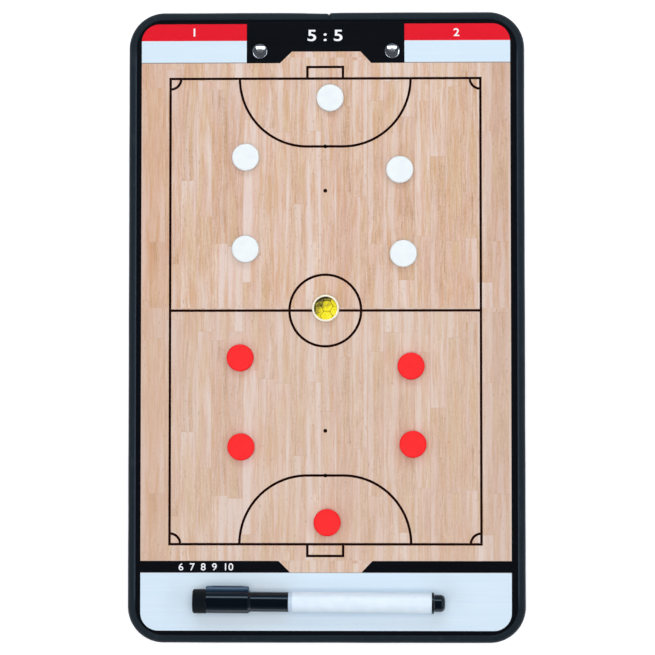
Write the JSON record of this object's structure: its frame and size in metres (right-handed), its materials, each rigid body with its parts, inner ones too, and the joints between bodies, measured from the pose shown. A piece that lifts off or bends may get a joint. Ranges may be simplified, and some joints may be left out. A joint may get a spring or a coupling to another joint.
{
  "type": "magnetic coaching board",
  "caption": "Rectangular magnetic coaching board with rounded corners and a rubber edge, a sprung paper clip on its back, round sliding counters and a capped dry-wipe marker.",
  "frame": {"origin": "centre of the board's outline, at the height of the clip lever's flat outer face, on which the board lies", "axes": "+X to the board's right edge, +Y to its top edge along its length, +Z out of the printed front face"},
  "size_m": [0.22, 0.35, 0.0277],
  "materials": {
    "core_board": "brown hardboard core, hidden",
    "sheet_steel": "thin sheet steel, hidden under the films",
    "printed_film": "satin printed film: pale strip-wood floor with black court lines",
    "drywipe_film": "white dry-wipe film with a half court",
    "edge_rubber": "dark slate flexible strip, satin",
    "nickel_plate": "nickel-plated pressed steel",
    "bright_steel": "bright drawn wire and pin",
    "chrome_rivet": "polished domed rivet",
    "white_plastic": "white moulded plastic",
    "red_plastic": "bright red moulded plastic",
    "magnet_ferrite": "dark grey magnet, flat",
    "ball_print": "yellow printed disc with a ball pattern",
    "white_barrel": "white moulded tube",
    "black_gloss": "black gloss moulded plastic",
    "felt": "black pressed felt",
    "ink_fibre": "ink-soaked fibre"
  },
  "bodies": {
    "board": {"core_panel": "core_board", "front_steel_sheet": "sheet_steel", "back_steel_sheet": "sheet_steel", "front_print_film": "printed_film", "back_print_film": "drywipe_film", "edge_trim": "edge_rubber", "clip_rivets": "chrome_rivet", "clip_base": "nickel_plate", "clip_hinge_pin": "bright_steel", "clip_spring": "bright_steel"},
    "clip_lever": {"clip_lever": "nickel_plate", "clip_grips": "edge_rubber"},
    "white_counter_1": {"white_counter_1_cap": "white_plastic", "white_counter_1_magnet": "magnet_ferrite"},
    "white_counter_2": {"white_counter_2_cap": "white_plastic", "white_counter_2_magnet": "magnet_ferrite"},
    "white_counter_3": {"white_counter_3_cap": "white_plastic", "white_counter_3_magnet": "magnet_ferrite"},
    "white_counter_4": {"white_counter_4_cap": "white_plastic", "white_counter_4_magnet": "magnet_ferrite"},
    "white_counter_5": {"white_counter_5_cap": "white_plastic", "white_counter_5_magnet": "magnet_ferrite"},
    "red_counter_1": {"red_counter_1_cap": "red_plastic", "red_counter_1_magnet": "magnet_ferrite"},
    "red_counter_2": {"red_counter_2_cap": "red_plastic", "red_counter_2_magnet": "magnet_ferrite"},
    "red_counter_3": {"red_counter_3_cap": "red_plastic", "red_counter_3_magnet": "magnet_ferrite"},
    "red_counter_4": {"red_counter_4_cap": "red_plastic", "red_counter_4_magnet": "magnet_ferrite"},
    "red_counter_5": {"red_counter_5_cap": "red_plastic", "red_counter_5_magnet": "magnet_ferrite"},
    "ball_counter": {"ball_counter_cap": "white_plastic", "ball_counter_magnet": "magnet_ferrite", "ball_sticker": "ball_print"},
    "marker": {"marker_barrel": "white_barrel", "marker_nose": "white_barrel", "marker_nib": "ink_fibre", "marker_reservoir": "ink_fibre", "marker_end_plug": "black_gloss"},
    "marker_cap": {"marker_cap": "black_gloss", "marker_cap_magnet": "magnet_ferrite", "marker_eraser": "felt"}
  },
  "joints": [
    {"name": "clip_hinge", "type": "hinge", "parent": "board", "child": "clip_lever", "pos_m": [0, 0.1537, 0.0048], "axis": [1, 0, 0], "range_deg": [0, 22], "stiffness_Nm_per_rad": 0.3, "springref_deg": -28.65, "deforming": ["clip_spring"]},
    {"name": "white_counter_1_slide", "type": "slide", "parent": "board", "child": "white_counter_1", "axis": [0, 1, 0], "range_m": [-0.1014, 0.0358]},
    {"name": "white_counter_2_slide", "type": "slide", "parent": "board", "child": "white_counter_2", "axis": [0, 1, 0], "range_m": [-0.0355, 0.05]},
    {"name": "white_counter_3_slide", "type": "slide", "parent": "board", "child": "white_counter_3", "axis": [0, 1, 0], "range_m": [-0.0311, 0.055]},
    {"name": "white_counter_4_slide", "type": "slide", "parent": "board", "child": "white_counter_4", "axis": [0, 1, 0], "range_m": [-0.0448, 0.0355]},
    {"name": "white_counter_5_slide", "type": "slide", "parent": "board", "child": "white_counter_5", "axis": [0, 1, 0], "range_m": [-0.0468, 0.0311]},
    {"name": "red_counter_1_slide", "type": "slide", "parent": "board", "child": "red_counter_1", "axis": [0, 1, 0], "range_m": [-0.0337, 0.0448]},
    {"name": "red_counter_2_slide", "type": "slide", "parent": "board", "child": "red_counter_2", "axis": [0, 1, 0], "range_m": [-0.0277, 0.0468]},
    {"name": "red_counter_3_slide", "type": "slide", "parent": "board", "child": "red_counter_3", "axis": [0, 1, 0], "range_m": [-0.0681, 0.0337]},
    {"name": "red_counter_4_slide", "type": "slide", "parent": "board", "child": "red_counter_4", "axis": [0, 1, 0], "range_m": [-0.073, 0.0277]},
    {"name": "red_counter_5_slide", "type": "slide", "parent": "board", "child": "red_counter_5", "axis": [0, 1, 0], "range_m": [-0.0294, 0.1028]},
    {"name": "ball_counter_slide", "type": "slide", "parent": "board", "child": "ball_counter", "axis": [0, 1, 0], "range_m": [-0.1028, 0.1014]},
    {"name": "marker_lift", "type": "slide", "parent": "board", "child": "marker", "axis": [0, 0, 1], "range_m": [0, 0.04]},
    {"name": "cap_pull", "type": "slide", "parent": "marker", "child": "marker_cap", "axis": [-1, 0.0079, 0], "range_m": [0, 0.03]}
  ]
}
